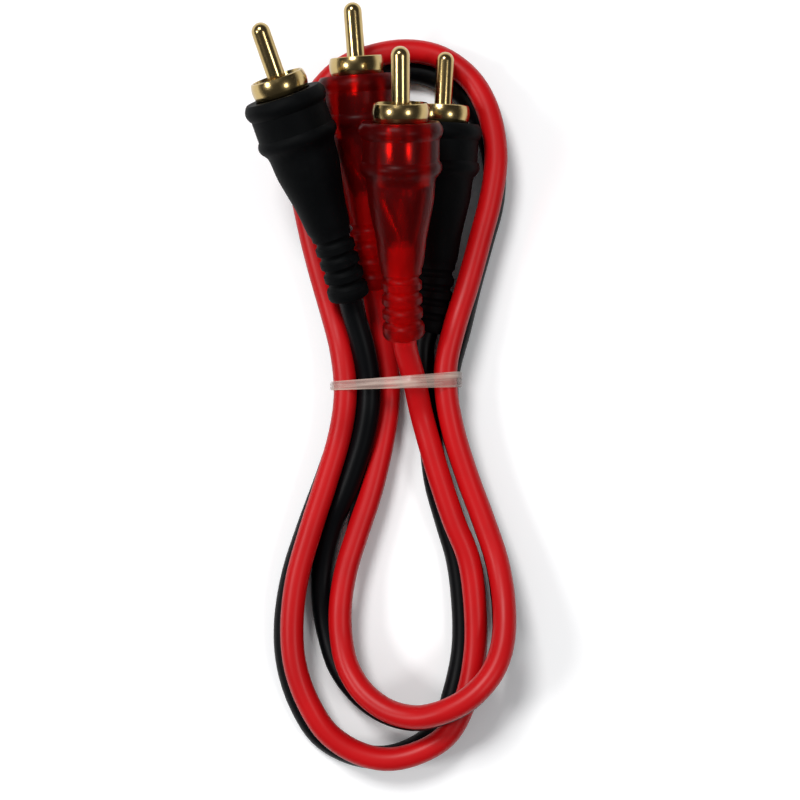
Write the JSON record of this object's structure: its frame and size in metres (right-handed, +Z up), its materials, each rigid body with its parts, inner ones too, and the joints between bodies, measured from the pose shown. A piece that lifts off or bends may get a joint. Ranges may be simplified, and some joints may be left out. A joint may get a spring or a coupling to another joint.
{
  "type": "stereo phono audio cable",
  "caption": "Short stereo audio lead of two bonded strands with a moulded phono plug on each end, folded into a flat hank and held by a clear tie",
  "frame": {"origin": "on the ground, under the middle of the hank's bounding box", "axes": "+Z up, +Y along the hank towards the plugs' pins, +X to the right when the plugs point away from the viewer"},
  "size_m": [0.0474, 0.1376, 0.0315],
  "materials": {
    "red_jacket": "soft gloss flexible PVC",
    "black_jacket": "soft gloss flexible PVC",
    "red_boot": "translucent moulded PVC",
    "black_boot": "matt moulded PVC",
    "gold": "gold plated, polished",
    "insulator": "matt",
    "copper": "bare stranded copper",
    "dielectric": "matt",
    "clear_tie": "clear elastic"
  },
  "bodies": {
    "root": {"red_strand": "red_jacket", "black_strand": "black_jacket", "tie": "clear_tie", "red_plug_a_boot": "red_boot", "red_plug_a_shell": "gold", "red_plug_a_pin": "gold", "red_plug_a_insulator": "insulator", "red_plug_a_core_wire": "copper", "red_plug_a_dielectric": "dielectric", "red_plug_a_screen_tail": "copper", "black_plug_a_boot": "black_boot", "black_plug_a_shell": "gold", "black_plug_a_pin": "gold", "black_plug_a_insulator": "insulator", "black_plug_a_core_wire": "copper", "black_plug_a_dielectric": "dielectric", "black_plug_a_screen_tail": "copper", "black_plug_b_boot": "black_boot", "black_plug_b_shell": "gold", "black_plug_b_pin": "gold", "black_plug_b_insulator": "insulator", "black_plug_b_core_wire": "copper", "black_plug_b_dielectric": "dielectric", "black_plug_b_screen_tail": "copper", "red_plug_b_boot": "red_boot", "red_plug_b_shell": "gold", "red_plug_b_pin": "gold", "red_plug_b_insulator": "insulator", "red_plug_b_core_wire": "copper", "red_plug_b_dielectric": "dielectric", "red_plug_b_screen_tail": "copper"}
  },
  "joints": []
}
